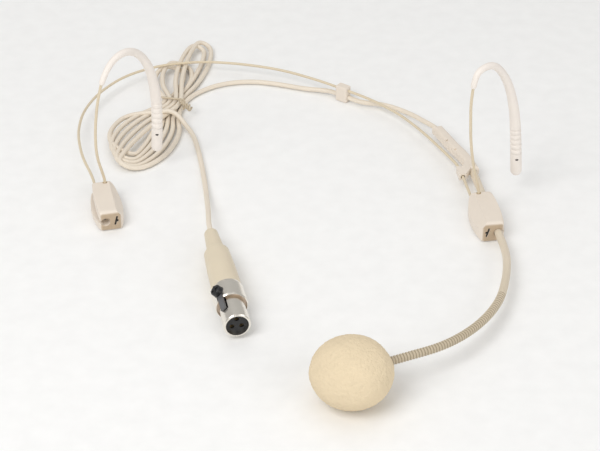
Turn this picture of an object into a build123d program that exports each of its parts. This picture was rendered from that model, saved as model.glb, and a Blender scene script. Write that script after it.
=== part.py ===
from build123d import *
from math import cos, radians, sin, tan
import os

# A wire-framed headset microphone, laid on a table. X runs to the wearer's right, Y to the back of
# the head and Z up from the table. All sizes are in millimetres and all angles in degrees.

os.makedirs("parts", exist_ok=True)

# ---------------------------------------------------------------- driving dimensions
WIRE_R = 0.5  # coated spring wire of the neckband and the ear hooks
CABLE_R = 0.9  # thin flexible microphone cable
BOOM_R = 1.35  # boom tube and gooseneck
LEAD_R = 0.4  # signal lead inside the boom
LEAD_BORE_R = 0.55
ARC_SHARE = 0.45  # part of the shorter run that each arc of a route may take
GOOSENECK_ARC_SHARE = 0.35

HOUSING_LENGTH = 20.5
HOUSING_END_WIDTH = 7.6
HOUSING_MID_WIDTH = 10.8
HOUSING_HEIGHT = 7.5
HOUSING_CORNER_R = 1.6
HOUSING_TOP_R = 1.5
HOUSING_BOTTOM_R = 0.8
LEFT_YAW = 13.0
RIGHT_YAW = 8.5

LEVEL_Z = 4.5  # height of the neckband wire over most of its run
BOOM_Z = 3.6  # height of the boom tube
CHANNEL_X = 1.8  # boom channel, outward of the housing's middle
CHANNEL_R = 1.55
CHANNEL_MOUTH = 1.1  # height of the open side of the channel
SLIT_X = 1.8  # slit in the front face, inward of the housing's middle
SLIT_WIDTH = 0.7
SLIT_HEIGHT = 3.6
SLIT_DEPTH = 1.6
SLIT_LEAN = 15.0
RIDGE_X = 2.2  # ridge of the inner flank, inward of the housing's middle
FLANK_DROP = 4.2

EAR_AXIS_X = 0.8  # swivel axis of an ear hook, inward of the housing's middle
EAR_AXIS_Y = 8.8
BUSH_R = 0.85
BUSH_BOTTOM = 4.5
BUSH_TOP = 7.3
COLLAR_R = 0.8  # collar that keeps an ear hook's wire below its bush
COLLAR_THICKNESS = 0.4
COLLAR_ROOM = 0.7
RUNNING_GAP = 0.06

BAND_DEPTH = 6.0  # length of neckband wire bonded into each housing
LEFT_BAND_X = -2.7
LEFT_BAND_Z = 6.0
RIGHT_BAND_X = -2.8

SLEEVE_R = 1.35
GRIP_R = 2.0
LEFT_HOOK_TURN = 38.0  # plane of the hook, turned from the back towards +X
RIGHT_HOOK_TURN = 50.0

CLIP_FACE_Y = 28.0  # front face of the rear clip, behind the right housing's middle
CLIP_BOTTOM = 1.75
CLIP_TOP = 5.55
CLIP_CABLE_Z = 3.7
CLIP_ROUND = 1.2
FOOT_THICKNESS = 2.6
GUIDE_R = 0.8  # loose eye of the rear clip around the neckband wire

SLIDER_YAW = -36.0
SLIDER_LENGTH = 5.0
SLIDER_WIDTH = 3.4
SLIDER_HEIGHT = 6.1
SLIDER_CABLE_Z = 1.6

FOAM_R = 12.8
FOAM_HALF_HEIGHT = 10.6  # the foam ball is a little flattened
CAPSULE_R = 2.7
CAPSULE_LENGTH = 9.0

PLUG_YAW = 11.5
PLUG_AXIS_Z = 5.4
SHELL_R = 5.35
NOSE_R = 4.4  # rim of the nose
NECK_R = 4.2  # the nose behind its rim
HANK_HEIGHT = 3.7


# ---------------------------------------------------------------- helpers
def yawed(x, y, yaw):
    """Horizontal plane at a point of the table, with its X axis turned about Z."""
    angle = radians(yaw)
    return Plane(origin=(x, y, 0), x_dir=(cos(angle), sin(angle), 0), z_dir=(0, 0, 1))


def across(frame, x, y, z):
    """Plane square to a frame's Y axis, through a point given in that frame."""
    return Plane(origin=frame.from_local_coords((x, y, z)), x_dir=frame.x_dir, z_dir=frame.y_dir)


def corner_radii(route, share=ARC_SHARE):
    """Radius of each corner's arc, which takes the given share of the shorter run beside it."""
    radii = []
    for before, corner, after in zip(route, route[1:], route[2:]):
        run_in = corner - before
        run_out = after - corner
        half_turn = radians(run_in.get_angle(run_out) / 2)
        radii.append(share * min(run_in.length, run_out.length) / tan(half_turn))
    return radii


def cut_at_runs(route, runs, share=ARC_SHARE):
    """Split a route in the middle of some of its runs, into pieces of corners and their radii."""
    radii = corner_radii(route, share)
    pieces = []
    start = route[0]
    first = 1
    for run in runs:
        end = (route[run] + route[run + 1]) / 2
        pieces.append(([start, *route[first : run + 1], end], radii[first - 1 : run]))
        start = end
        first = run + 1
    pieces.append(([start, *route[first:]], radii[first - 1 :]))
    return pieces


def round_bar(corners, radii, outer_r, bore_r=0.0):
    """Round bar or tube along straight runs joined by tangent arcs."""
    with BuildPart() as bar:
        with BuildLine():
            FilletPolyline(*corners, radius=radii)
        with BuildSketch(Plane(origin=corners[0], z_dir=corners[1] - corners[0])):
            Circle(outer_r)
            if bore_r:
                Circle(bore_r, mode=Mode.SUBTRACT)
        sweep()
    return bar.part


def save(part, name):
    """Label a finished piece and write it to its own file."""
    part.label = name
    export_step(part, f"parts/{name}.step")


def save_cable(route, name):
    """Make a stretch of cable, and print what shows that its tube is sound."""
    radii = corner_radii(route)
    tube = round_bar(route, radii, CABLE_R)
    with BuildLine() as line:
        FilletPolyline(*route, radius=radii)
    length = line.wire().length
    section = tube.volume / length / (Circle(CABLE_R).area)
    print(f"{name}: length {length:.1f}, volume / (section x length) {section:.4f}")
    print(f"{name}: radii", [round(radius, 1) for radius in radii])
    save(tube, name)


# ---------------------------------------------------------------- places
left_frame = yawed(-65.2, 6.8, LEFT_YAW)
right_frame = yawed(66.0, 0.2, RIGHT_YAW)
slider_frame = yawed(18.4, 85.05, SLIDER_YAW)

half_length = HOUSING_LENGTH / 2

neckband_route = [
    left_frame.from_local_coords(Vector(LEFT_BAND_X, half_length - BAND_DEPTH, LEFT_BAND_Z)),
    left_frame.from_local_coords(Vector(LEFT_BAND_X, 15.6, LEFT_BAND_Z)),
    Vector(-76.4, 35.0, 5.6),
    Vector(-79.7, 51.6, 5.2),
    Vector(-79.4, 67.2, 4.9),
    Vector(-74.9, 81.6, 4.7),
    Vector(-66.2, 94.9, LEVEL_Z),
    Vector(-53.1, 103.4, LEVEL_Z),
    Vector(-37.3, 106.6, LEVEL_Z),
    Vector(-21.3, 104.7, LEVEL_Z),
    Vector(-5.8, 100.2, LEVEL_Z),
    Vector(8.7, 92.1, LEVEL_Z),
    Vector(28.1, 78.0, LEVEL_Z),
    Vector(38.6, 67.3, LEVEL_Z),
    Vector(47.3, 53.6, LEVEL_Z),
    Vector(55.2, 37.9, LEVEL_Z),
    right_frame.from_local_coords(Vector(RIGHT_BAND_X, 31, LEVEL_Z)),
    right_frame.from_local_coords(Vector(RIGHT_BAND_X, half_length - BAND_DEPTH, LEVEL_Z)),
]

# Ear hooks, as (distance along the hook's plane, height) from the swivel axis.
left_hook_outline = [
    (0, 4), (0, 8.8), (-3.2, 20), (-3.0, 30), (-1.0, 40), (2.3, 48.2),
    (8.2, 53.4), (16.6, 53.2), (24.0, 46.2), (27.7, 35), (28.7, 22), (27.4, 9.0),
]
right_hook_outline = [
    (0, 4), (0, 8.8), (-3.4, 19.5), (-5.6, 31), (-6.6, 46), (-5.4, 55.2),
    (-2.8, 57.8), (3.6, 57.4), (9.4, 50.5), (13.4, 41.3), (16.4, 28.8), (18.2, 9.5),
]

# The boom: a straight tube through the right housing, then a gooseneck round to the mouth.
TUBE_FRONT_Y = -13.5
tube_end = across(right_frame, CHANNEL_X, TUBE_FRONT_Y, BOOM_Z)
foam_centre = Vector(17.4, -93.7, FOAM_HALF_HEIGHT)
last_bend = Vector(33.7, -85.2, 9.7)
capsule_direction = (foam_centre - last_bend).normalized()
CAPSULE_BACK = 7.0  # back end of the capsule housing, behind the middle of the windscreen
boom_route = [
    tube_end.origin,
    across(right_frame, CHANNEL_X, TUBE_FRONT_Y - 5, BOOM_Z).origin,
    Vector(70.7, -27.6, 4.8),
    Vector(69.1, -39.6, 5.4),
    Vector(65.7, -52.9, 6.1),
    Vector(57.9, -66.4, 7.1),
    Vector(46.9, -77.9, 8.4),
    last_bend,
    foam_centre - capsule_direction * CAPSULE_BACK,
]

# The cable is held along the back by the rear clip and the slider; the rest of it lies free.
slider_middle = slider_frame.from_local_coords(Vector(0, 0, SLIDER_CABLE_Z))
cable_back_route = [
    Vector(56.1, 48.5, CLIP_CABLE_Z),
    Vector(51.6, 59.0, CLIP_CABLE_Z),
    Vector(48.0, 63.2, 3.5),
    Vector(44.5, 68.0, 3.1),
    Vector(39.1, 74.2, 2.2),
    Vector(32.9, 78.6, 1.7),
    slider_frame.from_local_coords(Vector(8.5, 0, SLIDER_CABLE_Z)),
    slider_middle,
]
cable_front_route = [
    slider_middle,
    slider_frame.from_local_coords(Vector(-6.5, 0, SLIDER_CABLE_Z)),
    Vector(3.7, 91.3, 1.0),
    Vector(-5.8, 94.8, 0.95),
    Vector(-14.8, 97.0, 0.95),
    Vector(-22.8, 96.6, 0.95),
    Vector(-30.3, 94.2, 0.95),
    Vector(-38.3, 88.0, 0.95),
    Vector(-44.8, 82.4, 1.2),
]
plug_frame = yawed(-28.3, -12.6, 180 + PLUG_YAW)
cable_lead_route = [
    Vector(-47.3, 74.4, 1.2),
    Vector(-41.5, 67.4, 0.95),
    Vector(-37.5, 57.4, 0.95),
    Vector(-35.0, 45.4, 0.95),
    Vector(-33.1, 33.4, 0.95),
    Vector(-31.6, 21.4, 1.3),
    Vector(-30.5, 10.4, 2.9),
    Vector(-29.6, 0.4, 4.9),
    plug_frame.from_local_coords(Vector(0, -4, PLUG_AXIS_Z)),
    plug_frame.from_local_coords(Vector(0, 4, PLUG_AXIS_Z)),
]


# ---------------------------------------------------------------- housings and ear hooks
def make_housing(name, frame, outward, band_x, band_z):
    """Moulded side housing: the neckband wire, the ear hook and the boom meet in it."""
    end = HOUSING_END_WIDTH / 2
    middle = HOUSING_MID_WIDTH / 2
    with BuildPart() as housing:
        with BuildSketch(frame):
            with BuildLine():
                Line((-end, -half_length), (end, -half_length))
                ThreePointArc((end, -half_length), (middle, 0), (end, half_length))
                Line((end, half_length), (-end, half_length))
                ThreePointArc((-end, half_length), (-middle, 0), (-end, -half_length))
            make_face()
        extrude(amount=HOUSING_HEIGHT)
        fillet(housing.edges().filter_by(Axis.Z), HOUSING_CORNER_R)
        fillet(housing.faces().sort_by(Axis.Z)[-1].edges(), HOUSING_TOP_R)
        fillet(housing.faces().sort_by(Axis.Z)[0].edges(), HOUSING_BOTTOM_R)
        # slanted inner flank, below a ridge along the top
        flank_foot = HOUSING_HEIGHT - FLANK_DROP
        with BuildSketch(across(frame, 0, 0, 0)):
            with BuildLine():
                Polyline(
                    (-outward * RIDGE_X, -HOUSING_HEIGHT), (-outward * middle, -flank_foot),
                    (-outward * HOUSING_MID_WIDTH, -flank_foot), (-outward * HOUSING_MID_WIDTH, -2 * HOUSING_HEIGHT),
                    (-outward * RIDGE_X, -2 * HOUSING_HEIGHT), close=True,
                )
            make_face()
        extrude(amount=HOUSING_LENGTH, both=True, mode=Mode.SUBTRACT)
        # the upper wall stands back from the lip below the channel's mouth
        with BuildSketch(frame.offset(BOOM_Z - CHANNEL_MOUTH / 2)):
            with BuildLine():
                ThreePointArc((outward * 3.6, half_length), (outward * 4.2, 0), (outward * 3.7, -half_length))
                Line((outward * 3.7, -half_length), (outward * HOUSING_MID_WIDTH, -half_length))
                Line((outward * HOUSING_MID_WIDTH, -half_length), (outward * HOUSING_MID_WIDTH, half_length))
                Line((outward * HOUSING_MID_WIDTH, half_length), (outward * 3.6, half_length))
            make_face()
        extrude(amount=HOUSING_HEIGHT, mode=Mode.SUBTRACT)
        # boom channel, with the mouth that the boom snaps in through
        with BuildSketch(across(frame, outward * CHANNEL_X, 0, BOOM_Z)):
            Circle(CHANNEL_R)
        extrude(amount=HOUSING_LENGTH, both=True, mode=Mode.SUBTRACT)
        with BuildSketch(frame.offset(BOOM_Z - CHANNEL_MOUTH / 2)):
            with Locations((outward * (CHANNEL_X + HOUSING_MID_WIDTH / 2), 0)):
                Rectangle(HOUSING_MID_WIDTH, HOUSING_LENGTH + 2)
        extrude(amount=CHANNEL_MOUTH, mode=Mode.SUBTRACT)
        # blind bore of the neckband wire
        with BuildSketch(across(frame, band_x, half_length - BAND_DEPTH, band_z)):
            Circle(WIRE_R)
        extrude(amount=2 * BAND_DEPTH, mode=Mode.SUBTRACT)
        # pocket of the ear hook's bush and collar
        with BuildSketch(frame.offset(BUSH_BOTTOM - COLLAR_ROOM)):
            with Locations((-outward * EAR_AXIS_X, EAR_AXIS_Y)):
                Circle(BUSH_R)
        extrude(amount=HOUSING_HEIGHT, mode=Mode.SUBTRACT)
        # slanted blind slit in the front face, wider at its middle
        with BuildSketch(across(frame, -outward * SLIT_X, -half_length, HOUSING_HEIGHT / 2)):
            Rectangle(SLIT_WIDTH, SLIT_HEIGHT, rotation=SLIT_LEAN)
            with Locations((-outward * SLIT_WIDTH / 2, 0)):
                Circle(0.8 * SLIT_WIDTH)
        extrude(amount=SLIT_DEPTH, mode=Mode.SUBTRACT)
    save(housing.part, f"{name}_housing")


def make_ear_bush(name, frame, outward):
    """Brass bush in which an ear hook's wire turns."""
    with BuildPart() as bush:
        with BuildSketch(frame.offset(BUSH_BOTTOM)):
            with Locations((-outward * EAR_AXIS_X, EAR_AXIS_Y)):
                Circle(BUSH_R)
                Circle(WIRE_R + RUNNING_GAP, mode=Mode.SUBTRACT)
        extrude(amount=BUSH_TOP - BUSH_BOTTOM)
    save(bush.part, f"{name}_ear_bush")


def make_ear_hook(name, frame, outward, turn, outline):
    """Ear hook: a bent wire with a retaining collar, in a soft sleeve with a thick ribbed end."""
    foot = frame.from_local_coords(Vector(-outward * EAR_AXIS_X, EAR_AXIS_Y, 0))
    away = Vector(sin(radians(turn)), cos(radians(turn)), 0)
    route = [foot + away * reach + Vector(0, 0, height) for reach, height in outline]
    wire_end = route[-1] + (route[-2] - route[-1]).normalized() * 3
    wire = round_bar([*route[:-1], wire_end], corner_radii(route), WIRE_R)
    with BuildPart() as hook_wire:
        add(wire)
        with BuildSketch(Plane(origin=route[0])):
            Circle(COLLAR_R)
        extrude(amount=COLLAR_THICKNESS)
    save(hook_wire.part, f"{name}_ear_wire")

    slim, grip = cut_at_runs(route, (4, 9))[1:]
    slim_bar = round_bar(*slim, SLEEVE_R)
    grip_bar = round_bar(*grip, GRIP_R)
    with BuildPart() as sleeve:
        add(slim_bar)
        add(grip_bar)
        with Locations(route[-1]):
            Sphere(GRIP_R)
        add(hook_wire.part, mode=Mode.SUBTRACT)
    save(sleeve.part, f"{name}_ear_sleeve")


make_housing("left", left_frame, -1, LEFT_BAND_X, LEFT_BAND_Z)
make_housing("right", right_frame, 1, RIGHT_BAND_X, LEVEL_Z)
make_ear_bush("left", left_frame, -1)
make_ear_bush("right", right_frame, 1)
make_ear_hook("left", left_frame, -1, LEFT_HOOK_TURN, left_hook_outline)
make_ear_hook("right", right_frame, 1, RIGHT_HOOK_TURN, right_hook_outline)

# ---------------------------------------------------------------- neckband and its clips
save(round_bar(neckband_route, corner_radii(neckband_route), WIRE_R), "neckband_wire")

slider_side = Plane(origin=slider_frame.origin, x_dir=slider_frame.y_dir, z_dir=slider_frame.x_dir)
with BuildPart() as slider_clip:
    with BuildSketch(slider_frame):
        RectangleRounded(SLIDER_LENGTH, SLIDER_WIDTH, 0.6)
    extrude(amount=SLIDER_HEIGHT)
    fillet(slider_clip.faces().sort_by(Axis.Z)[-1].edges(), 0.5)
    with BuildSketch(slider_side):
        with Locations((0, LEVEL_Z)):
            Circle(WIRE_R + RUNNING_GAP)
        with Locations((0, SLIDER_CABLE_Z)):
            Circle(CABLE_R + RUNNING_GAP)
    extrude(amount=SLIDER_LENGTH, both=True, mode=Mode.SUBTRACT)
save(slider_clip.part, "slider_clip")

TUBE_REAR_Y = CLIP_FACE_Y + 3.0
FERRULE_R = 1.3
FERRULE_LENGTH = 4.0
FERRULE_INSET = 1.5
MOUTH_INSET = 2.2  # from the cable's first corner to the mouth of the clip
cable_run = cable_back_route[0] - cable_back_route[1]
clip_mouth = Plane(origin=cable_back_route[1] + cable_run.normalized() * MOUTH_INSET, z_dir=cable_run)
clip_lead_route = [
    cable_back_route[0],
    Vector(59.9, 39.6, CLIP_CABLE_Z),
    across(right_frame, CHANNEL_X, TUBE_REAR_Y + 0.2, BOOM_Z).origin,
]
clip_lead_radii = corner_radii(clip_lead_route)
clip_lead = round_bar(clip_lead_route, clip_lead_radii, LEAD_R)
clip_lead_bore = round_bar(clip_lead_route, clip_lead_radii, LEAD_BORE_R)
save(clip_lead, "signal_lead_rear")

with BuildPart() as rear_clip:
    with BuildSketch(Plane.XY.offset(CLIP_BOTTOM)):
        with BuildLine():
            Line((61.6, 27.9), (65.8, 28.5))
            ThreePointArc((65.8, 28.5), (63.1, 37.7), (60.0, 44.3))
            Line((60.0, 44.3), (54.3, 57.7))
            Line((54.3, 57.7), (50.7, 56.3))
            Line((50.7, 56.3), (56.4, 42.8))
            ThreePointArc((56.4, 42.8), (59.3, 36.7), (61.6, 27.9))
        make_face()
    extrude(amount=CLIP_TOP - CLIP_BOTTOM)
    fillet(rear_clip.faces().sort_by(Axis.Z)[-1].edges(), CLIP_ROUND)
    fillet(rear_clip.faces().sort_by(Axis.Z)[0].edges(), CLIP_ROUND)
    # foot with the eye that rides on the neckband wire
    with BuildSketch(right_frame.offset(LEVEL_Z - FOOT_THICKNESS / 2)):
        with BuildLine():
            Polyline((-4.1, 24), (-1.7, 24), (0.6, 27.5), (0.6, 32), (-0.6, 32), (-1.5, 29.2), (-4.1, 29.2), close=True)
        make_face()
    extrude(amount=FOOT_THICKNESS)
    with BuildSketch(across(right_frame, RIGHT_BAND_X, 20, LEVEL_Z)):
        Circle(GUIDE_R)
    extrude(amount=12, mode=Mode.SUBTRACT)
    # blind seat of the boom tube
    with BuildSketch(across(right_frame, CHANNEL_X, CLIP_FACE_Y - 3, BOOM_Z)):
        Circle(BOOM_R + RUNNING_GAP)
    extrude(amount=TUBE_REAR_Y - CLIP_FACE_Y + 3, mode=Mode.SUBTRACT)
    # bore of the cable, the seat of its ferrule and the passage of the signal lead
    with BuildSketch(clip_mouth.offset(-3)):
        Circle(CABLE_R + RUNNING_GAP)
    extrude(amount=3 + cable_run.length, mode=Mode.SUBTRACT)
    with BuildSketch(clip_mouth.offset(FERRULE_INSET)):
        Circle(FERRULE_R)
    extrude(amount=FERRULE_LENGTH, mode=Mode.SUBTRACT)
    add(clip_lead_bore, mode=Mode.SUBTRACT)
    # two moulding pin holes in the upper face
    with BuildSketch(Plane.XY.offset(CLIP_TOP - 0.7)):
        with Locations((55.5, 46.6), (58.1, 40.6)):
            Circle(0.5)
    extrude(amount=2, mode=Mode.SUBTRACT)
save(rear_clip.part, "rear_clip")

with BuildPart() as cable_ferrule:
    with BuildSketch(clip_mouth.offset(FERRULE_INSET)):
        Circle(FERRULE_R)
        Circle(CABLE_R, mode=Mode.SUBTRACT)
    extrude(amount=FERRULE_LENGTH)
save(cable_ferrule.part, "cable_ferrule")

# ---------------------------------------------------------------- boom
BALL_R = 1.3
JOINT_SETBACK = 0.75  # parent end of a gooseneck joint, back from the joint's centre
LEAD_SETBACK = 1.6
tube_length = TUBE_REAR_Y - TUBE_FRONT_Y

with BuildPart() as boom_tube:
    with BuildSketch(tube_end):
        Circle(BOOM_R)
        Circle(LEAD_BORE_R, mode=Mode.SUBTRACT)
    extrude(amount=tube_length)
save(boom_tube.part, "boom_tube")

with BuildPart() as tube_lead:
    with BuildSketch(tube_end):
        Circle(LEAD_R)
    extrude(amount=tube_length)
save(tube_lead.part, "signal_lead_tube")


def make_gooseneck(name, piece, ball_behind, dish_ahead):
    """Length of gooseneck with its lead; a ball and a dish meet at each bend joint."""
    corners, radii = piece
    joint = corners[-1]
    ahead = (corners[-1] - corners[-2]).normalized()
    tube_corners = corners
    lead_corners = corners
    if dish_ahead:
        tube_corners = [*corners[:-1], joint - ahead * JOINT_SETBACK]
        lead_corners = [*corners[:-1], joint - ahead * LEAD_SETBACK]
    tube = round_bar(tube_corners, radii, BOOM_R)
    lead = round_bar(lead_corners, radii, LEAD_R)
    behind = (corners[0] - corners[1]).normalized()
    bore = round_bar([corners[0] + behind * 2, *corners[1:-1], joint + ahead * 2], radii, LEAD_BORE_R)
    with BuildPart() as segment:
        add(tube)
        if ball_behind:
            with Locations(Plane(origin=corners[0], z_dir=behind)):
                Sphere(BALL_R)
        add(bore, mode=Mode.SUBTRACT)
        if dish_ahead:
            with Locations(joint):
                Sphere(BALL_R + RUNNING_GAP, mode=Mode.SUBTRACT)
    save(segment.part, f"gooseneck_{name}")
    save(lead, f"signal_lead_{name}")


root_piece, middle_piece, tip_piece = cut_at_runs(boom_route, (3, 5), GOOSENECK_ARC_SHARE)
make_gooseneck("root", root_piece, ball_behind=False, dish_ahead=True)
make_gooseneck("middle", middle_piece, ball_behind=True, dish_ahead=True)
make_gooseneck("tip", tip_piece, ball_behind=True, dish_ahead=False)
for joint_name, joint_piece in (("bend 1", middle_piece), ("bend 2", tip_piece)):
    print(joint_name, "centre", joint_piece[0][0])
print("capsule direction", capsule_direction)

# ---------------------------------------------------------------- microphone and windscreen
CAN_R = 2.2
CAN_BACK = 3.5  # back of the capsule's pocket, from the back of its housing
GRILLE_THICKNESS = 0.5
mic_back = Plane(origin=boom_route[-1], z_dir=capsule_direction)
can_length = CAPSULE_LENGTH - CAN_BACK - GRILLE_THICKNESS

with BuildPart() as capsule_housing:
    with BuildSketch(mic_back):
        Circle(CAPSULE_R)
    extrude(amount=CAPSULE_LENGTH)
    fillet(capsule_housing.edges().filter_by(GeomType.CIRCLE).sort_by(Axis.X)[-1], 0.8)
    with BuildSketch(mic_back.offset(CAN_BACK)):
        Circle(CAN_R)
    extrude(amount=CAPSULE_LENGTH, mode=Mode.SUBTRACT)
    with BuildSketch(mic_back):
        Circle(LEAD_R)
    extrude(amount=CAN_BACK, mode=Mode.SUBTRACT)
save(capsule_housing.part, "capsule_housing")

with BuildPart() as capsule_lead:
    with BuildSketch(mic_back):
        Circle(LEAD_R)
    extrude(amount=CAN_BACK)
save(capsule_lead.part, "signal_lead_capsule")

with BuildPart() as capsule:
    with BuildSketch(mic_back.offset(CAN_BACK)):
        Circle(CAN_R)
    extrude(amount=can_length)
    with BuildSketch(mic_back.offset(CAN_BACK + can_length - 0.4)):
        Circle(0.6)
    extrude(amount=1, mode=Mode.SUBTRACT)
save(capsule.part, "capsule")

with BuildPart() as capsule_grille:
    with BuildSketch(mic_back.offset(CAN_BACK + can_length)):
        Circle(CAN_R)
        with PolarLocations(1.3, 6):
            Circle(0.3, mode=Mode.SUBTRACT)
        Circle(0.3, mode=Mode.SUBTRACT)
    extrude(amount=GRILLE_THICKNESS)
save(capsule_grille.part, "capsule_grille")

FOAM_BORE_R = CAPSULE_R + 0.05
with BuildPart() as windscreen:
    with Locations((foam_centre.X, foam_centre.Y, FOAM_R)):
        Sphere(FOAM_R)
    scale(by=(1, 1, FOAM_HALF_HEIGHT / FOAM_R))
    with BuildSketch(mic_back.offset(-FOAM_R)):
        Circle(FOAM_BORE_R)
    extrude(amount=FOAM_R + CAPSULE_LENGTH + 0.3, mode=Mode.SUBTRACT)
save(windscreen.part, "windscreen")

# ---------------------------------------------------------------- plug
BOOT_END = 12.0  # stations along the plug, from the tip of its boot
BODY_END = 34.0
RECESS_START = 40.9  # the shell is open round the nose ahead of this
SHELL_END = 42.3
RIM_START = 47.6
NOSE_END = 52.5
INSERT_R = 3.7
INSERT_END = 51.3
SOCKET_R = 0.75
SOCKET_DEPTH = 9.0
plug_axis = Axis(plug_frame.from_local_coords(Vector(0, 0, PLUG_AXIS_Z)), plug_frame.y_dir)
plug_side = Plane(origin=plug_axis.position, x_dir=plug_frame.y_dir, z_dir=(0, 0, 1))


def turn_profile(*profile):
    """Solid turned about the plug's axis from a closed outline of (station, radius)."""
    with BuildPart() as turned:
        with BuildSketch(plug_side):
            with BuildLine():
                Polyline(*profile, close=True)
            make_face()
        revolve(axis=plug_axis)
    return turned.part


def plug_station(station):
    """Plane square to the plug's axis, looking out of its nose."""
    return Plane(
        origin=plug_frame.from_local_coords(Vector(0, station, PLUG_AXIS_Z)),
        x_dir=-plug_frame.x_dir,
        z_dir=plug_frame.y_dir,
    )


boot = turn_profile((0, CABLE_R), (0, 2.0), (0.6, 2.3), (BOOT_END, 3.1), (BOOT_END, 0), (4, 0), (4, CABLE_R))
save(boot, "plug_boot")

body = turn_profile((BOOT_END, 0), (BOOT_END, 3.9), (12.8, 4.3), (22, 4.75), (BODY_END, 4.95), (BODY_END, 0))
save(body, "plug_body")

LATCH_STATION = 38.6
LATCH_TURN = 45.0  # latch, turned from straight up towards the left of the headset
LATCH_R = 1.9
LATCH_OUT = 7.0  # distance of the button's crown from the plug's axis
LATCH_SEAT = 2.6
LATCH_GAP = 0.1
ARM_SIDE_GAP = 0.3
LATCH_ROOM = 4.0
ARM_WIDTH = 2.0
ARM_TOP = 5.2
ARM_BOTTOM = 4.55
ARM_END = 47.5
latch_out = plug_frame.x_dir * sin(radians(LATCH_TURN)) + Vector(0, 0, cos(radians(LATCH_TURN)))
latch_origin = plug_frame.from_local_coords(Vector(0, LATCH_STATION, PLUG_AXIS_Z))
latch_plane = Plane(origin=latch_origin, x_dir=plug_frame.y_dir, z_dir=latch_out)
arm_length = ARM_END - LATCH_STATION
print("latch direction", latch_out)

shell_blank = turn_profile(
    (BODY_END, NECK_R), (BODY_END, 5.2), (BODY_END + 0.8, SHELL_R), (SHELL_END - 0.5, SHELL_R),
    (SHELL_END, SHELL_R - 0.3), (SHELL_END, 5.0), (RECESS_START, 5.0), (RECESS_START, NECK_R),
)
with BuildPart() as plug_shell:
    add(shell_blank)
    with BuildSketch(latch_plane.offset(LATCH_SEAT)):
        Circle(LATCH_R + LATCH_GAP)
        with Locations((arm_length / 2, 0)):
            Rectangle(arm_length + LATCH_GAP, ARM_WIDTH + 2 * ARM_SIDE_GAP)
    extrude(amount=LATCH_ROOM, mode=Mode.SUBTRACT)
save(plug_shell.part, "plug_shell")

nose_blank = turn_profile(
    (BODY_END, INSERT_R), (BODY_END, NECK_R), (RIM_START, NECK_R), (RIM_START, NOSE_R),
    (NOSE_END - 0.3, NOSE_R), (NOSE_END, 4.1), (NOSE_END, INSERT_R),
)
with BuildPart() as plug_nose:
    add(nose_blank)
    with BuildSketch(latch_plane.offset(LATCH_SEAT)):
        Circle(LATCH_R + LATCH_GAP)
        with Locations((arm_length / 2, 0)):
            Rectangle(arm_length + LATCH_GAP, ARM_WIDTH + 2 * ARM_SIDE_GAP)
    extrude(amount=LATCH_ROOM, mode=Mode.SUBTRACT)
save(plug_nose.part, "plug_nose")

insert_blank = turn_profile((BODY_END, 0), (BODY_END, INSERT_R), (INSERT_END, INSERT_R), (INSERT_END, 0))
with BuildPart() as plug_insert:
    add(insert_blank)
    with BuildSketch(plug_station(INSERT_END - SOCKET_DEPTH)):
        with PolarLocations(1.8, 3, start_angle=90):
            Circle(SOCKET_R)
    extrude(amount=SOCKET_DEPTH + 1, mode=Mode.SUBTRACT)
    with BuildSketch(latch_plane.offset(LATCH_SEAT)):
        Circle(LATCH_R + LATCH_GAP)
        with Locations((arm_length / 2, 0)):
            Rectangle(arm_length + LATCH_GAP, ARM_WIDTH + 2 * ARM_SIDE_GAP)
    extrude(amount=LATCH_ROOM, mode=Mode.SUBTRACT)
save(plug_insert.part, "plug_insert")

for number, place in enumerate(PolarLocations(1.8, 3, start_angle=90).local_locations, start=1):
    centre = place.position
    with BuildPart() as contact:
        with BuildSketch(plug_station(INSERT_END - SOCKET_DEPTH)):
            with Locations((centre.X, centre.Y)):
                Circle(SOCKET_R)
                Circle(0.5, mode=Mode.SUBTRACT)
        extrude(amount=SOCKET_DEPTH - 1)
    save(contact.part, f"plug_contact_{number}")

with BuildPart() as latch_button:
    with BuildSketch(latch_plane.offset(ARM_TOP)):
        Circle(LATCH_R)
    extrude(amount=LATCH_OUT - ARM_TOP)
    fillet(latch_button.faces().sort_by(Axis.Z)[-1].edges(), 0.5)
save(latch_button.part, "latch_button")

with BuildPart() as latch_arm:
    with BuildSketch(latch_plane.offset(ARM_BOTTOM)):
        Circle(LATCH_R)
        with Locations((arm_length / 2, 0)):
            Rectangle(arm_length, ARM_WIDTH)
    extrude(amount=ARM_TOP - ARM_BOTTOM)
save(latch_arm.part, "latch_arm")

with BuildPart() as latch_spring:
    with BuildSketch(latch_plane.offset(LATCH_SEAT)):
        Circle(1.5)
        Circle(1.1, mode=Mode.SUBTRACT)
    extrude(amount=ARM_BOTTOM - LATCH_SEAT)
save(latch_spring.part, "latch_spring")

# ---------------------------------------------------------------- cable
save_cable(cable_back_route, "cable_back_run")
save_cable(cable_front_route, "cable_front_run")
save_cable(cable_lead_route, "cable_lead")
front_end = round_bar(cable_front_route, corner_radii(cable_front_route), CABLE_R)
lead_end = round_bar(cable_lead_route, corner_radii(cable_lead_route), CABLE_R)

TIE_THICKNESS = 0.6
TIE_WIDTH = 1.6
TIE_LENGTH = 10.5
HANK_TURN = -15.0
tie_frame = yawed(-47.7, 78.4, HANK_TURN)
with BuildPart() as twist_tie:
    with BuildSketch(across(tie_frame, 0, -TIE_WIDTH / 2, (HANK_HEIGHT + TIE_THICKNESS) / 2)):
        RectangleRounded(TIE_LENGTH, HANK_HEIGHT + TIE_THICKNESS, 1.6)
        RectangleRounded(TIE_LENGTH - 2 * TIE_THICKNESS, HANK_HEIGHT - TIE_THICKNESS, 1.0, mode=Mode.SUBTRACT)
    extrude(amount=TIE_WIDTH)
save(twist_tie.part, "twist_tie")

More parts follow.
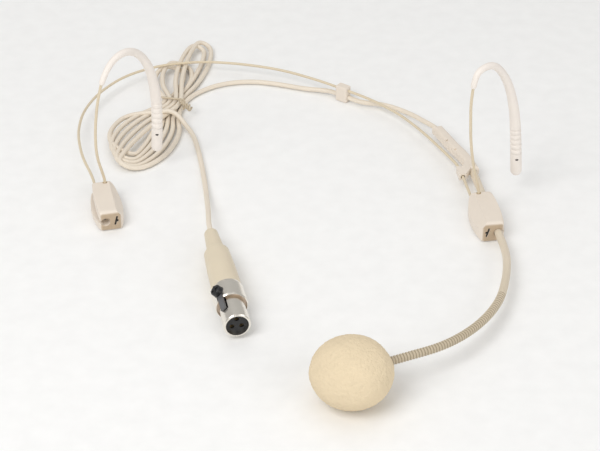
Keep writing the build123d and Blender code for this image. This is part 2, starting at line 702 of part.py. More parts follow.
# The coiled spare cable as one solid: two long loops above the tie and a wide one below it.
with BuildPart() as cable_hank:
    with BuildSketch():
        with Locations((-42.5, 102.9)):
            SlotOverall(56, 10, rotation=74)
        with Locations((-46.7, 95.9)):
            SlotOverall(36, 12, rotation=87)
        with Locations((-55.9, 57.4)):
            Ellipse(23, 12.5, rotation=73)
        with Locations((-47.7, 78.4)):
            Circle(5)
    extrude(amount=HANK_HEIGHT)
    chamfer(cable_hank.faces().sort_by(Axis.Z)[-1].edges(), 0.7)
    add(twist_tie.part, mode=Mode.SUBTRACT)
    add(front_end, mode=Mode.SUBTRACT)
    add(lead_end, mode=Mode.SUBTRACT)
save(cable_hank.part, "cable_hank")
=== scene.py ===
"""A wire-framed headset microphone lying on a table, with its coiled cable and its plug."""
import math

import bpy
from mathutils import Matrix, Vector, noise


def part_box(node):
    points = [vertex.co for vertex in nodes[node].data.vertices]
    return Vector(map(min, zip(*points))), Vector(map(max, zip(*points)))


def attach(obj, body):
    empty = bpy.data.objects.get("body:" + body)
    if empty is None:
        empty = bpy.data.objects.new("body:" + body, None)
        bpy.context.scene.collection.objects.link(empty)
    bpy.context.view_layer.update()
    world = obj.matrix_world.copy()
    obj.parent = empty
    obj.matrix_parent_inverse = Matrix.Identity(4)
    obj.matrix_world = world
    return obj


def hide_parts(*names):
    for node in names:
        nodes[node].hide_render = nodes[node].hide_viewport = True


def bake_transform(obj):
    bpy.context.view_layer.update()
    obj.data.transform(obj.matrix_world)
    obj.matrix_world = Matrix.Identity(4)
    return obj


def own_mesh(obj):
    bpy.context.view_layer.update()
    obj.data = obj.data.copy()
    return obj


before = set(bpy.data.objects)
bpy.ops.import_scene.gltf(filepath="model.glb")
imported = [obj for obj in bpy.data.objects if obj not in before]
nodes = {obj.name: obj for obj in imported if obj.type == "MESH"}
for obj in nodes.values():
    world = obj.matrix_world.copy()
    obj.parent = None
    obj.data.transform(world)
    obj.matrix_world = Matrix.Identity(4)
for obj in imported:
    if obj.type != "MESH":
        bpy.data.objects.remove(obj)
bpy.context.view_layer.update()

MM = 0.001
CABLE_R = 0.9 * MM


def at(x, y, z):
    """Point of the row frame, given in millimetres."""
    return Vector((x, y, z)) * MM


class Place:
    """Level frame at a point of the table, turned about Z; all in millimetres and degrees."""

    def __init__(self, x, y, yaw):
        angle = math.radians(yaw)
        self.origin = Vector((x, y, 0))
        self.across = Vector((math.cos(angle), math.sin(angle), 0))
        self.along = Vector((-math.sin(angle), math.cos(angle), 0))

    def __call__(self, x, y, z):
        return (self.origin + self.across * x + self.along * y + Vector((0, 0, z))) * MM


left_housing = Place(-65.2, 6.8, 13.0)
right_housing = Place(66.0, 0.2, 8.5)
slider = Place(18.4, 85.05, -36.0)
plug = Place(-28.3, -12.6, 191.5)
tie = Place(-47.7, 78.4, -15.0)
SLIDER_CABLE_Z = 1.6
PLUG_AXIS_Z = 5.4
LATCH_STATION = 38.6  # place of the latch button along the plug, from the end of its boot
BUTTON_OUT = (plug.across + Vector((0, 0, 1))).normalized()
LATCH_SIDE = plug.along.cross(BUTTON_OUT).normalized()

# ---------------------------------------------------------------- camera, light and table
CAMERA_ELEVATION = 34.5
CAMERA_DISTANCE = 0.640
CAMERA_TARGET = at(1.9, -0.3, 0)
FOCAL_LENGTH = 111.2
TABLE_DROP = 0.0002
LIGHTS = (  # name, place, size and power
    ("key", (-0.45, -0.55, 0.8), 0.6, 5.2),
    ("fill", (0.75, -0.7, 0.45), 0.8, 2.6),
    ("top", (0.0, 0.3, 1.0), 0.9, 1.6),
)


def make_camera():
    """Camera that looks down at the table over the front of the headset."""
    elevation = math.radians(CAMERA_ELEVATION)
    data = bpy.data.cameras.new("camera")
    data.lens = FOCAL_LENGTH
    data.sensor_width = 36.0
    data.clip_start = 0.01
    data.clip_end = 10.0
    camera = bpy.data.objects.new("camera", data)
    bpy.context.scene.collection.objects.link(camera)
    back = Vector((0, -math.cos(elevation), math.sin(elevation)))
    camera.location = CAMERA_TARGET + back * CAMERA_DISTANCE
    camera.rotation_euler = back.to_track_quat("Z", "Y").to_euler()
    bpy.context.scene.camera = camera


def make_light(name, place, size, power):
    """Soft square light aimed at the middle of the table."""
    data = bpy.data.lights.new(name, "AREA")
    data.size = size
    data.energy = power
    light = bpy.data.objects.new(name, data)
    bpy.context.scene.collection.objects.link(light)
    light.location = place
    light.rotation_euler = Vector(place).to_track_quat("Z", "Y").to_euler()


def make_studio():
    """Pale table, white surroundings and three soft lights."""
    world = bpy.data.worlds.new("surroundings")
    bpy.context.scene.world = world
    world.use_nodes = True
    background = world.node_tree.nodes["Background"]
    background.inputs["Color"].default_value = (1.0, 0.99, 0.97, 1)
    background.inputs["Strength"].default_value = 0.5
    for light in LIGHTS:
        make_light(*light)
    bpy.ops.mesh.primitive_plane_add(size=6.0, location=(0, 0, -TABLE_DROP))
    table = bpy.context.object
    table.name = "table"
    table.data.materials.append(material("table_top", (0.93, 0.93, 0.925), 0.6))
    bpy.context.scene.view_settings.view_transform = "Standard"
    bpy.context.scene.view_settings.exposure = 0.0


# ---------------------------------------------------------------- materials
MOTTLE_SCALE = 160.0
GRAIN_HEIGHT = 0.0004
FRONT_START = 0.75  # how squarely a face looks forward where its painted shade starts and is full
FRONT_FULL = 0.95


def material(name, colour, roughness, metallic=0.0, grain=0.0, grain_size=900.0, mottle=0.04):
    """Surface with a slight procedural mottle, and a fine bump where grain is given."""
    made = bpy.data.materials.new(name)
    made.use_nodes = True
    tree = made.node_tree
    shader = tree.nodes["Principled BSDF"]
    shader.inputs["Roughness"].default_value = roughness
    shader.inputs["Metallic"].default_value = metallic
    place = tree.nodes.new("ShaderNodeTexCoord")
    cloud = tree.nodes.new("ShaderNodeTexNoise")
    cloud.inputs["Scale"].default_value = MOTTLE_SCALE
    mix = tree.nodes.new("ShaderNodeMix")
    mix.data_type = "RGBA"
    mix.inputs["A"].default_value = (*[c * (1 - mottle) for c in colour], 1)
    mix.inputs["B"].default_value = (*[min(1, c * (1 + mottle)) for c in colour], 1)
    tree.links.new(place.outputs["Object"], cloud.inputs["Vector"])
    tree.links.new(cloud.outputs["Fac"], mix.inputs["Factor"])
    tree.links.new(mix.outputs["Result"], shader.inputs["Base Color"])
    if grain:
        fine = tree.nodes.new("ShaderNodeTexNoise")
        fine.inputs["Scale"].default_value = grain_size
        bump = tree.nodes.new("ShaderNodeBump")
        bump.inputs["Strength"].default_value = grain
        bump.inputs["Distance"].default_value = GRAIN_HEIGHT
        tree.links.new(place.outputs["Object"], fine.inputs["Vector"])
        tree.links.new(fine.outputs["Fac"], bump.inputs["Height"])
        tree.links.new(bump.outputs["Normal"], shader.inputs["Normal"])
    return made


def turn_colour(made, value, start, end, colour):
    """Turn a material to another colour while the value of a node socket goes from start to end."""
    tree = made.node_tree
    base = tree.nodes["Principled BSDF"].inputs["Base Color"]
    under = base.links[0].from_socket
    ramp = tree.nodes.new("ShaderNodeMapRange")
    ramp.inputs["From Min"].default_value = start
    ramp.inputs["From Max"].default_value = end
    mix = tree.nodes.new("ShaderNodeMix")
    mix.data_type = "RGBA"
    mix.inputs["B"].default_value = (*colour, 1)
    tree.links.new(value, ramp.inputs["Value"])
    tree.links.new(ramp.outputs["Result"], mix.inputs["Factor"])
    tree.links.new(under, mix.inputs["A"])
    tree.links.new(mix.outputs["Result"], base)


def shade_front(made, front, colour):
    """Darken, as painted shade, the faces of a material that look along a direction of the row frame.
    """
    tree = made.node_tree
    geometry = tree.nodes.new("ShaderNodeNewGeometry")
    dot = tree.nodes.new("ShaderNodeVectorMath")
    dot.operation = "DOT_PRODUCT"
    dot.inputs[1].default_value = front
    tree.links.new(geometry.outputs["Normal"], dot.inputs[0])
    turn_colour(made, dot.outputs["Value"], FRONT_START, FRONT_FULL, colour)
    return made


def fade_along(made, axis, start, end, colour):
    """Fade a material to another colour between two places along X, Y or Z of the row frame."""
    tree = made.node_tree
    place = tree.nodes.new("ShaderNodeTexCoord")
    split = tree.nodes.new("ShaderNodeSeparateXYZ")
    tree.links.new(place.outputs["Object"], split.inputs["Vector"])
    turn_colour(made, split.outputs[axis], start, end, colour)
    return made


def paint(node, made):
    """Give a CAD node another material."""
    slots = nodes[node].data.materials
    if len(slots) == 0:
        slots.append(made)
    for index in range(len(slots)):
        nodes[node].material_slots[index].link = "OBJECT"
        nodes[node].material_slots[index].material = made


CREAM = (0.80, 0.715, 0.62)
# painted shade colour for the forward-looking faces of the housings
HOUSING_FRONT_SHADE = (0.50, 0.385, 0.265)
WIRE = (0.70, 0.60, 0.44)
SILICONE = (0.88, 0.815, 0.755)
CABLE = (0.80, 0.715, 0.60)
COIL = (0.55, 0.47, 0.345)
# painted shade colour for the grooves of the gooseneck's coil
COIL_GROOVE_SHADE = (0.36, 0.29, 0.20)
# lighter colour of painted highlight for the gooseneck near its root and for the boom tube
COIL_HIGHLIGHT = (0.72, 0.63, 0.50)
FOAM = (0.79, 0.655, 0.455)
PLUG_BEIGE = (0.72, 0.63, 0.48)
# the painted highlight near the gooseneck's root fades into the coil's own colour between these
# places
FADE_START = -28 * MM
FADE_END = -72 * MM

plastic = material("cream_plastic", CREAM, 0.42, grain=0.08)
wire_coat = material("wire_coating", WIRE, 0.35)
silicone = material("silicone", SILICONE, 0.5, grain=0.05)
jacket = material("cable_jacket", CABLE, 0.45, grain=0.06)
# the coating is painted lighter near its root as a painted highlight, and so is the boom tube
coil_highlight_base = material("gooseneck_coating_and_highlight", COIL_HIGHLIGHT, 0.38)
coil_coat = fade_along(coil_highlight_base, "Y", FADE_START, FADE_END, COIL)
groove_shade = material("gooseneck_groove_shade", COIL_GROOVE_SHADE, 0.6)
root_highlight = material("gooseneck_root_highlight", COIL_HIGHLIGHT, 0.42)
foam = material("foam", FOAM, 0.95, grain=0.9, grain_size=1500.0, mottle=0.05)
beige = material("plug_beige", PLUG_BEIGE, 0.45, grain=0.05)
nickel = material("nickel", (0.86, 0.82, 0.75), 0.24, metallic=1.0, mottle=0.02)
# painted shade in the gap between the plug's shell and its nose
plug_gap_shade = material("plug_gap_shade", (0.62, 0.50, 0.40), 0.35, metallic=0.5)
black = material("black_plastic", (0.012, 0.012, 0.013), 0.3)
steel = material("spring_steel", (0.16, 0.16, 0.165), 0.35, metallic=0.3)
brass = material("brass", (0.62, 0.45, 0.2), 0.3, metallic=1.0)
tie_paper = material("tie_covering", (0.60, 0.51, 0.38), 0.6)
# painted shade for the insides of the sleeve vents and the housing slits
dark = material("painted_hole_shade", (0.03, 0.025, 0.02), 0.8)
insulation = material("lead_insulation", (0.05, 0.045, 0.04), 0.6)

NODE_MATERIALS = (
    (plastic, ("slider_clip", "rear_clip", "capsule_housing")),
    (wire_coat, ("neckband_wire", "left_ear_wire", "right_ear_wire")),
    (root_highlight, ("boom_tube",)),
    (beige, ("plug_boot", "plug_body")),
    (nickel, ("plug_shell", "plug_nose")),
    (black, ("plug_insert", "latch_button", "capsule_grille")),
    (steel, ("latch_arm", "latch_spring", "capsule")),
    (brass, ("left_ear_bush", "right_ear_bush", "cable_ferrule")),
    (brass, ("plug_contact_1", "plug_contact_2", "plug_contact_3")),
    (insulation, [name for name in nodes if name.startswith("signal_lead")]),
)


def paint_nodes():
    """Give the CAD pieces their materials; the housings' front faces get painted shade."""
    for side, housing in (("left", left_housing), ("right", right_housing)):
        shell = material(f"{side}_housing_plastic", CREAM, 0.42, grain=0.08)
        paint(f"{side}_housing", shade_front(shell, -housing.along, HOUSING_FRONT_SHADE))
    for made, names in NODE_MATERIALS:
        for name in names:
            paint(name, made)


# ---------------------------------------------------------------- making curves, tubes and boxes
def spline_object(name, points, radius):
    """Round cord as one open NURBS spline that starts and ends on its control points."""
    data = bpy.data.curves.new(name, "CURVE")
    data.dimensions = "3D"
    data.resolution_u = 6
    data.bevel_depth = radius
    data.bevel_resolution = 3
    data.use_fill_caps = True
    spline = data.splines.new("NURBS")
    spline.points.add(len(points) - 1)
    for control, point in zip(spline.points, points):
        control.co = (*point, 1)
    spline.order_u = 3
    spline.use_endpoint_u = True
    made = bpy.data.objects.new(name, data)
    bpy.context.scene.collection.objects.link(made)
    return made


def spline_points(points, spacing):
    """Evenly spaced points along the smooth spline of a list of control points."""
    guide = spline_object("guide", points, 0)
    guide.data.resolution_u = 24
    mesh = bpy.data.meshes.new_from_object(guide)
    line = [vertex.co.copy() for vertex in mesh.vertices]
    data = guide.data
    bpy.data.objects.remove(guide)
    bpy.data.curves.remove(data)
    bpy.data.meshes.remove(mesh)
    lengths = [0.0]
    for before, after in zip(line, line[1:]):
        lengths.append(lengths[-1] + (after - before).length)
    count = max(2, round(lengths[-1] / spacing))
    even = []
    index = 0
    for step in range(count + 1):
        want = lengths[-1] * step / count
        while index < len(line) - 2 and lengths[index + 1] < want:
            index += 1
        share = (want - lengths[index]) / max(lengths[index + 1] - lengths[index], 1e-12)
        even.append(line[index].lerp(line[index + 1], share))
    return even


def rings_along(line):
    """Two directions square to a line at each of its points, without twist."""
    frames = []
    tangent = (line[1] - line[0]).normalized()
    side = tangent.orthogonal().normalized()
    for index in range(len(line)):
        before = line[max(index - 1, 0)]
        after = line[min(index + 1, len(line) - 1)]
        new_tangent = (after - before).normalized()
        side = (tangent.rotation_difference(new_tangent) @ side).normalized()
        side = (side - new_tangent * side.dot(new_tangent)).normalized()
        tangent = new_tangent
        frames.append((side, tangent.cross(side)))
    return frames


def mesh_object(name, vertices, faces, made):
    """New object of one material from its vertices and faces."""
    mesh = bpy.data.meshes.new(name)
    mesh.from_pydata([tuple(vertex) for vertex in vertices], [], faces)
    mesh.materials.append(made)
    piece = bpy.data.objects.new(name, mesh)
    bpy.context.scene.collection.objects.link(piece)
    return piece


def tube(name, line, radii, made, sides=20):
    """Closed round tube along a line, with its own radius at each point."""
    vertices = []
    for point, radius, (side, up) in zip(line, radii, rings_along(line)):
        for step in range(sides):
            angle = 2 * math.pi * step / sides
            vertices.append(point + (side * math.cos(angle) + up * math.sin(angle)) * radius)
    faces = [tuple(reversed(range(sides)))]
    for ring in range(len(line) - 1):
        low = ring * sides
        for step in range(sides):
            turn = (step + 1) % sides
            faces.append((low + step, low + turn, low + sides + turn, low + sides + step))
    last = (len(line) - 1) * sides
    faces.append(tuple(range(last, last + sides)))
    piece = mesh_object(name, vertices, faces, made)
    piece.data.polygons.foreach_set("use_smooth", [True] * len(faces))
    return piece


def box_object(name, centre, edges, made):
    """Box about a centre, with its three edges given as vectors."""
    bpy.ops.mesh.primitive_cube_add(size=1)
    piece = bpy.context.object
    piece.name = name
    rows = [(edges[0][i], edges[1][i], edges[2][i], centre[i]) for i in range(3)]
    piece.data.transform(Matrix([*rows, (0, 0, 0, 1)]))
    piece.data.materials.append(made)
    return piece


# ---------------------------------------------------------------- cable
LOW_Z = 0.95  # heights of the two layers of turns at the tie
HIGH_Z = 2.8
FIRST_PASS = 4.6  # sideways place of the first turn where the tie holds it, and the step to the next
PASS_STEP = 1.9
LOWER_AXIS = 251.0
# length and widths to the left and right of each loop, and for the upper ones its direction first
LOWER_LOBES = ((45, 3.0, 11.0), (44, 5.5, 8.6), (42, 8.0, 6.4), (40, 10.2, 4.6), (36.5, 12.3, 2.8))
UPPER_LOBES = ((77, 48, 3.6, 5.6), (78, 45, 4.8, 3.8), (86, 30.5, 5.6, 6.4), (88, 27.5, 7.2, 4.4))
# shares of a loop's length and width, from the tie to the loop's end
LOBE_SHAPE = ((0.18, 0.30), (0.38, 0.80), (0.66, 1.0), (0.88, 0.86), (1.01, 0.48))
DRIFT = 0.9  # share of a turn's sideways place that its loop starts with

FRONT_ROUTE = (
    slider(0, 0, SLIDER_CABLE_Z),
    slider(-3.2, 0, SLIDER_CABLE_Z),
    slider(-6.5, 0, SLIDER_CABLE_Z),
    at(3.7, 91.3, 1.0),
    at(-5.8, 94.8, 0.95),
    at(-14.8, 97.0, 0.95),
    at(-22.8, 96.6, 0.95),
    at(-30.3, 94.2, 0.95),
    at(-36.6, 89.4, 0.95),
    at(-41.0, 84.0, 0.95),
)
LEAD_ROUTE = (
    at(-50.6, 68.6, 4.2),
    at(-47.3, 68.8, 4.8),
    at(-43.9, 67.6, 3.8),
    at(-40.6, 63.4, 1.4),
    at(-37.5, 57.4, 0.95),
    at(-35.0, 45.4, 0.95),
    at(-33.1, 33.4, 0.95),
    at(-31.6, 21.4, 1.3),
    at(-30.5, 10.4, 2.9),
    at(-29.6, 0.4, 4.9),
    plug(0, -4, PLUG_AXIS_Z),
    plug(0, 4, PLUG_AXIS_Z),
)
HELD_ROUTE = (
    at(56.1, 48.5, 3.7),
    at(52.6, 56.7, 3.7),
    at(51.6, 59.0, 3.7),
    at(48.0, 63.2, 3.5),
    at(44.5, 68.0, 3.1),
    at(39.1, 74.2, 2.2),
    at(32.9, 78.6, 1.7),
    slider(8.5, 0, SLIDER_CABLE_Z),
    slider(4.2, 0, SLIDER_CABLE_Z),
    slider(0, 0, SLIDER_CABLE_Z),
)


def hank_lobe(axis_degrees, length, widths, places, heights):
    """Control points of one loop of the coil, from one pass through the tie to the next."""
    angle = math.radians(axis_degrees)
    ahead = Vector((math.cos(angle), math.sin(angle), 0))
    rightward = Vector((ahead.y, -ahead.x, 0))
    if rightward.x < 0:
        rightward = -rightward
    shapes = (LOBE_SHAPE, tuple(reversed(LOBE_SHAPE)))
    points = []
    for shape, width, place, height in zip(shapes, widths, places, heights):
        for along, wide in shape:
            drift = place * (1 - along) * DRIFT
            sideways = rightward * (width * wide + drift)
            points.append(ahead * length * along + sideways + Vector((0, 0, height)))
    return [(tie.origin + point) * MM for point in points]


def coil_route():
    """Control points of the coil: each turn has a loop below the tie and one above it."""
    points = []
    for turn, (length, left, right) in enumerate(LOWER_LOBES):
        x = FIRST_PASS - PASS_STEP * turn
        points.append(tie(x, 0, LOW_Z))
        lobe = hank_lobe(LOWER_AXIS, length, (right, -left), (x, x), (LOW_Z, HIGH_Z))
        last_turn = turn == len(UPPER_LOBES)
        points += lobe[:-1] if last_turn else lobe
        if not last_turn:
            axis, length, left, right = UPPER_LOBES[turn]
            points.append(tie(x, 0, HIGH_Z))
            points += hank_lobe(axis, length, (-left, right), (x, x - PASS_STEP), (HIGH_Z, LOW_Z))
    return points


def make_free_cable():
    """Cable from the slider through the coil to the plug, with its length."""
    points = [*FRONT_ROUTE, *coil_route(), *LEAD_ROUTE]
    cable = spline_object("free_cable", points, CABLE_R)
    cable.data.materials.append(jacket)
    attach(cable, "headband")
    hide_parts("cable_front_run", "cable_hank", "cable_lead")
    line = spline_points(points, 0.5 * MM)
    length = sum((after - before).length for before, after in zip(line, line[1:]))
    return cable, length


def make_held_cable():
    """Cable from the rear clip to the slider."""
    line = spline_points(HELD_ROUTE, 0.8 * MM)
    held_cable = tube("held_cable", line, [CABLE_R] * len(line), jacket)
    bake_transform(held_cable)
    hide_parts("cable_back_run")


# ---------------------------------------------------------------- twist tie
TIE_HALF_WIDTH = 5.9
TIE_HEIGHT = 4.3
TIE_MIDDLE = 0.3
TIE_BOTTOM = 0.25
TIE_WAVE = 0.5
FLAT_SIDES = 0.45  # powers that square a circle up: 1 leaves it round, 0 makes it a box
FLAT_TOP = 0.6
TIE_LOOP_R = 0.42 * MM
TIE_END_R = 0.36 * MM
TIE_END_START = Vector((4.6, -1.2, 4.7))
TIE_END_RUN = Vector((5.2, -2.6, -1.2))
TIE_TWISTS = 2.5
TIE_SWING = 0.42


def make_tie():
    """Paper-covered wire tie: a loop round the coil, and two twisted ends."""
    loop = []
    for step in range(49):
        angle = 2 * math.pi * step / 48
        across = TIE_HALF_WIDTH * math.copysign(abs(math.cos(angle)) ** FLAT_SIDES, math.cos(angle))
        rise = TIE_HEIGHT / 2 * math.copysign(abs(math.sin(angle)) ** FLAT_TOP, math.sin(angle))
        height = TIE_BOTTOM + TIE_HEIGHT / 2 + rise
        loop.append(tie(TIE_MIDDLE + across, TIE_WAVE * math.sin(angle * 2), height))
    ring = tube("twist_tie_loop", loop, [TIE_LOOP_R] * len(loop), tie_paper, sides=10)
    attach(ring, "headband")
    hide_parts("twist_tie")
    strands = []
    for strand in range(2):
        line = []
        for step in range(41):
            share = step / 40
            spin = 2 * math.pi * TIE_TWISTS * share + strand * math.pi
            swing = TIE_SWING * (1 + share * share * 2.0)
            base = TIE_END_START + TIE_END_RUN * share
            line.append(tie(base.x, base.y + swing * math.cos(spin), base.z + swing * math.sin(spin)))
        end = tube(f"twist_tie_end_{strand + 1}", line, [TIE_END_R] * len(line), tie_paper, sides=8)
        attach(end, "headband")
        strands.append(end)
    return [ring, *strands]


# ---------------------------------------------------------------- ear hooks
LEFT_OUTLINE = (
    (0, 4), (0, 8.8), (-3.2, 20), (-3.0, 30), (-1.0, 40), (2.3, 48.2),
    (8.2, 53.4), (16.6, 53.2), (24.0, 46.2), (27.7, 35), (28.7, 22), (27.4, 9.0),
)
RIGHT_OUTLINE = (
    (0, 4), (0, 8.8), (-3.4, 19.5), (-5.6, 31), (-6.6, 46), (-5.4, 55.2),
    (-2.8, 57.8), (3.6, 57.4), (9.4, 50.5), (13.4, 41.3), (16.4, 28.8), (18.2, 9.5),
)
EAR_AXIS_X = 0.8
EAR_AXIS_Y = 8.8
LEFT_TURN = 38.0  # direction of each hook about its upright wire
RIGHT_TURN = 50.0
LEFT_SLEEVE_START = 46.0  # height at which each sleeve starts
RIGHT_SLEEVE_START = 51.5
SLEEVE_STEP = 0.2 * MM
SLIM_R = 1.0 * MM
GRIP_R = 2.0 * MM
GROWN_SHARE = 0.75  # share of the sleeve's length at which it is at its thickest
LIP_LENGTH = 1.0 * MM
LIP_SHARE = 0.72
FIRST_RING = 9.5 * MM  # from the tip
RING_PITCH = 2.1 * MM
RING_COUNT = 5
RING_DEPTH = 0.34 * MM
TIP_LENGTH = 2.0 * MM
VENT_PLACE = 7.8 * MM  # from the tip
VENT_SIZE = (0.62 * MM, 0.35 * MM, 0.4 * MM)
VENT_SHIFT = Vector((0.1 * MM, 0.18 * MM - GRIP_R, 0))  # from the sleeve's middle line


def sleeve_radius(done, whole):
    """Radius at a distance along a sleeve: a lip, a slow swelling, rings and a round tip."""
    left_over = whole - done
    radius = SLIM_R + (GRIP_R - SLIM_R) * min(1.0, done / (GROWN_SHARE * whole))
    if done < LIP_LENGTH:
        radius *= LIP_SHARE + (1 - LIP_SHARE) * math.sqrt(done / LIP_LENGTH)
    ring_place = (left_over - FIRST_RING) / RING_PITCH
    if 0 < ring_place < RING_COUNT:
        radius -= RING_DEPTH * (0.5 + 0.5 * math.cos(2 * math.pi * ring_place)) ** 3
    if left_over < TIP_LENGTH:
        radius *= math.sqrt(max(0.02, 1 - ((TIP_LENGTH - left_over) / TIP_LENGTH) ** 2))
    return radius


def make_sleeve(name, foot, turn, outline, first_height):
    """Soft sleeve of an ear hook: slim over the ear, then thick, with rings and a round tip."""
    angle = math.radians(turn)
    away = Vector((math.sin(angle), math.cos(angle), 0))
    controls = [foot + (away * reach + Vector((0, 0, height))) * MM for reach, height in outline]
    line = spline_points(controls, SLEEVE_STEP)
    start = next(i for i, point in enumerate(line) if point.z > first_height * MM)
    line = line[start:]
    whole = SLEEVE_STEP * (len(line) - 1) + TIP_LENGTH
    onward = (line[-1] - line[-2]).normalized() * SLEEVE_STEP
    for _ in range(round(TIP_LENGTH / SLEEVE_STEP)):
        line.append(line[-1] + onward)
    radii = [sleeve_radius(index * whole / (len(line) - 1), whole) for index in range(len(line))]
    sleeve = tube(f"{name}_sleeve_skin", line, radii, silicone, sides=28)
    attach(sleeve, f"{name}_ear_hook")
    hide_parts(f"{name}_ear_sleeve")
    make_vent(name, line[-round(VENT_PLACE / SLEEVE_STEP)])


def make_vent(name, place):
    """Small vent on the front of a sleeve's thick end, drawn as a dark lump of painted shade."""
    bpy.ops.mesh.primitive_uv_sphere_add(segments=16, ring_count=10, radius=1)
    vent = bpy.context.object
    vent.name = f"{name}_sleeve_vent"
    vent.scale = VENT_SIZE
    vent.location = place + VENT_SHIFT
    vent.data.materials.append(dark)
    bpy.ops.object.transform_apply(location=False, rotation=False, scale=True)
    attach(vent, f"{name}_ear_hook")


# ---------------------------------------------------------------- gooseneck
foam_centre = (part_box("windscreen")[0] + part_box("windscreen")[1]) / 2
BOOM_R = 1.35 * MM
BOOM_Z = 3.6
BOOM_ROUTE = (
    right_housing(1.8, -13.5, BOOM_Z),
    right_housing(1.8, -18.5, BOOM_Z),
    at(70.7, -27.6, 4.8),
    at(69.1, -39.6, 5.4),
    at(65.7, -52.9, 6.1),
    at(57.9, -66.4, 7.1),
    at(46.9, -77.9, 8.4),
    at(33.7, -85.2, 9.7),
)
BOOM_END = 7.0 * MM  # from the middle of the windscreen
BEND_1 = at(67.4, -46.25, 5.75)
BEND_2 = at(52.4, -72.15, 7.75)
BEND_REACH = 5.5 * MM  # half of the coil that bends at each joint
COIL_SIDES = 18
COIL_STEP = 0.105 * MM
COIL_PITCH = 1.05 * MM
COIL_DEPTH = 0.22 * MM
COIL_RISE = 14 * MM  # length over which the coil's rings come up to their full depth
RINGS_BEFORE_BEND = 8 * MM
SMOOTH_SHARE = 0.12  # share of the depth before the rings come up
GROOVES_AFTER = 10 * MM  # painted shade in the grooves starts this far after the rings
GROOVE_LEVEL = -0.55
COIL_SINK = 0.1  # share of the depth by which rings and grooves are moved inwards


def nearest(line, point):
    """Index of the point of a line that is nearest to a point."""
    return min(range(len(line)), key=lambda index: (line[index] - point).length_squared)


def coil_wave(distance):
    """Height of the coil's surface along the boom, from -1 in a groove to 1 on a ring."""
    return math.cos(2 * math.pi * distance / COIL_PITCH)


def shade_grooves(part, start, count, step, ring_start):
    """Give the rows of faces that lie in the grooves of a length of coil the darker material, as
    painted shade.
    """
    part.data.materials.append(groove_shade)
    for row in range(count):
        place = start + row + 0.5
        if place > ring_start + GROOVES_AFTER / step and coil_wave(place * step) < GROOVE_LEVEL:
            for face in part.data.polygons[1 + row * COIL_SIDES : 1 + (row + 1) * COIL_SIDES]:
                face.material_index = 1


def make_gooseneck():
    """Coated coil in five lengths: three that ride on the boom's parts and two that lie at its bends.
    """
    capsule_direction = (foam_centre - BOOM_ROUTE[-1]).normalized()
    line = spline_points([*BOOM_ROUTE, foam_centre - capsule_direction * BOOM_END], COIL_STEP)
    step = (line[1] - line[0]).length
    reach = round(BEND_REACH / step)
    first = nearest(line, BEND_1)
    second = nearest(line, BEND_2)
    ring_start = first - round(RINGS_BEFORE_BEND / step)
    radii = []
    for index in range(len(line)):
        clear = min(1.0, max(SMOOTH_SHARE, (index - ring_start) * step / COIL_RISE))
        radii.append(BOOM_R + COIL_DEPTH * clear * (coil_wave(index * step) / 2 - COIL_SINK))
    cuts = [0, first - reach, first + reach, second - reach, second + reach, len(line) - 1]
    riders = ["boom_root", "", "boom_middle", "", "boom_tip"]
    stands_for = ["gooseneck_root", "", "gooseneck_middle", "", "gooseneck_tip"]
    for number, (start, end) in enumerate(zip(cuts, cuts[1:])):
        name = f"gooseneck_coil_{number + 1}"
        part = tube(name, line[start : end + 1], radii[start : end + 1], coil_coat, COIL_SIDES)
        shade_grooves(part, start, end - start, step, ring_start)
        if riders[number]:
            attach(part, riders[number])
            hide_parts(stands_for[number])
        else:
            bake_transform(part)


# ---------------------------------------------------------------- windscreen
FOAM_VOXEL = 0.35 * MM
BORE_REACH = 9.0 * MM  # the foam nearer to its middle than this is left smooth
FOAM_NOISES = ((1.1 * MM, 0.17 * MM), (0.5 * MM, 0.10 * MM), (7.0 * MM, 0.25 * MM))  # size and height


def make_windscreen():
    """Open-pored foam ball with its bore, a little uneven all over."""
    mesh = nodes["windscreen"].data.copy()
    ball = bpy.data.objects.new("foam_ball", mesh)
    bpy.context.scene.collection.objects.link(ball)
    mesh.materials.clear()
    remesh = ball.modifiers.new("even", "REMESH")
    remesh.mode = "VOXEL"
    remesh.voxel_size = FOAM_VOXEL
    bpy.context.view_layer.update()
    evaluated = ball.evaluated_get(bpy.context.evaluated_depsgraph_get())
    fine = bpy.data.meshes.new_from_object(evaluated)
    ball.modifiers.clear()
    ball.data = fine
    for vertex in fine.vertices:
        out = vertex.co - foam_centre
        if out.length > BORE_REACH:
            rise = sum(noise.noise(vertex.co / size) * height for size, height in FOAM_NOISES)
            vertex.co += out.normalized() * rise
            vertex.co.z = max(vertex.co.z, 0.0)
    fine.polygons.foreach_set("use_smooth", [True] * len(fine.polygons))
    fine.materials.append(foam)
    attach(ball, "windscreen_body")
    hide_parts("windscreen")


# ---------------------------------------------------------------- slits of the housings
SLIT_LEAN = 15.0
SLIT_X = 1.8  # from the housing's middle line towards the head
SLIT_Y = -9.95
SLIT_Z = 3.75
SLIT_PLATES = ((0, 0.62, 3.5, 0.10), (0.35, 0.8, 0.8, 0.15))  # shift, width, height and depth


def make_slit_shadow(side, housing, inward):
    """Dark bottom of the slanted slit in the front face of a housing."""
    lean = math.radians(SLIT_LEAN)
    long_way = housing.across * math.sin(lean) + Vector((0, 0, math.cos(lean)))
    short_way = housing.across * math.cos(lean) - Vector((0, 0, math.sin(lean)))
    centre = housing(inward * SLIT_X, SLIT_Y, SLIT_Z)
    for number, (shift, width, height, depth) in enumerate(SLIT_PLATES):
        edges = (short_way * width * MM, housing.along * depth * MM, long_way * height * MM)
        middle = centre + short_way * shift * inward * MM
        plate = box_object(f"{side}_slit_shadow_{number + 1}", middle, edges, dark)
        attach(plate, "headband")


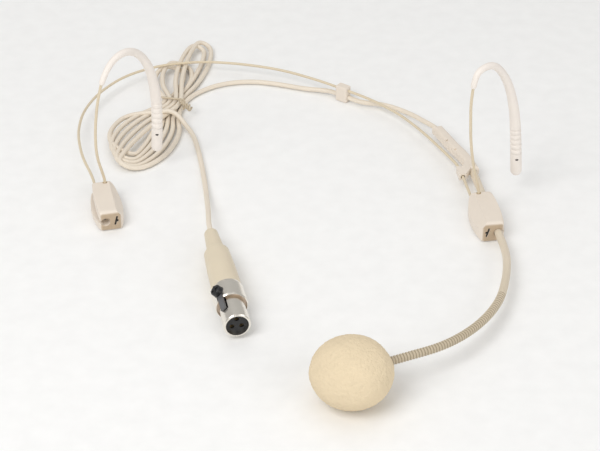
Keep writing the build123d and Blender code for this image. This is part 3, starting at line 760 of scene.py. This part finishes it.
# ---------------------------------------------------------------- plug
RECESS_STATION = 41.6
RECESS_INNER_R = 4.22
RECESS_OUTER_R = 4.98
RECESS_SIDES = 64
RIB_OUT = 7.0  # from the plug's axis
RIB_LENGTH = 2.9
RIB_WIDTH = 0.5
SPRING_SEAT = 2.6  # from the plug's axis
SPRING_R = 1.25
SPRING_LIFT = 0.15
SPRING_HEIGHT = 1.6
SPRING_WIRE_R = 0.13 * MM
SPRING_TURNS = 4
SPRING_STEPS = 120


def make_spring():
    """Small spring that pushes the latch out."""
    seat = plug(0, LATCH_STATION, PLUG_AXIS_Z) + BUTTON_OUT * SPRING_SEAT * MM
    line = []
    for number in range(SPRING_STEPS + 1):
        share = number / SPRING_STEPS
        angle = 2 * math.pi * SPRING_TURNS * share
        out = (plug.along * math.cos(angle) + LATCH_SIDE * math.sin(angle)) * SPRING_R * MM
        line.append(seat + out + BUTTON_OUT * (SPRING_LIFT + SPRING_HEIGHT * share) * MM)
    spring = tube("latch_coil_spring", line, [SPRING_WIRE_R] * len(line), steel, sides=8)
    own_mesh(spring)
    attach(spring, "headband")
    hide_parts("latch_spring")
    return spring


def make_recess():
    """Dull ring of painted shade in the gap between the plug's shell and its nose."""
    centre = plug(0, RECESS_STATION, PLUG_AXIS_Z)
    vertices = []
    for radius in (RECESS_INNER_R, RECESS_OUTER_R):
        for step in range(RECESS_SIDES):
            angle = 2 * math.pi * step / RECESS_SIDES
            out = plug.across * math.cos(angle) + Vector((0, 0, math.sin(angle)))
            vertices.append(centre + out * radius * MM)
    faces = []
    for step in range(RECESS_SIDES):
        turn = (step + 1) % RECESS_SIDES
        faces.append((step, turn, RECESS_SIDES + turn, RECESS_SIDES + step))
    ring = mesh_object("plug_recess", vertices, faces, plug_gap_shade)
    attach(ring, "headband")
    return ring


def make_button_ribs():
    """Two crossed ribs on the crown of the latch button."""
    ribs = []
    centre = plug(0, LATCH_STATION, PLUG_AXIS_Z) + BUTTON_OUT * RIB_OUT * MM
    ways = ((plug.along, LATCH_SIDE), (LATCH_SIDE, plug.along))
    for number, (long_way, short_way) in enumerate(ways):
        edges = (long_way * RIB_LENGTH * MM, short_way * RIB_WIDTH * MM, BUTTON_OUT * RIB_WIDTH * MM)
        rib = box_object(f"latch_button_rib_{number + 1}", centre, edges, black)
        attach(rib, "latch")
        ribs.append(rib)
    return ribs


# ---------------------------------------------------------------- the whole scene
cable, cable_length = make_free_cable()
make_held_cable()
tie_pieces = make_tie()
left_foot = left_housing(EAR_AXIS_X, EAR_AXIS_Y, 0)
right_foot = right_housing(-EAR_AXIS_X, EAR_AXIS_Y, 0)
make_sleeve("left", left_foot, LEFT_TURN, LEFT_OUTLINE, LEFT_SLEEVE_START)
make_sleeve("right", right_foot, RIGHT_TURN, RIGHT_OUTLINE, RIGHT_SLEEVE_START)
make_gooseneck()
make_windscreen()
paint_nodes()
make_slit_shadow("left", left_housing, 1)
make_slit_shadow("right", right_housing, -1)
plug_extras = [make_spring(), make_recess(), *make_button_ribs()]
make_camera()
make_studio()

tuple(slider(0, 0, SLIDER_CABLE_Z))
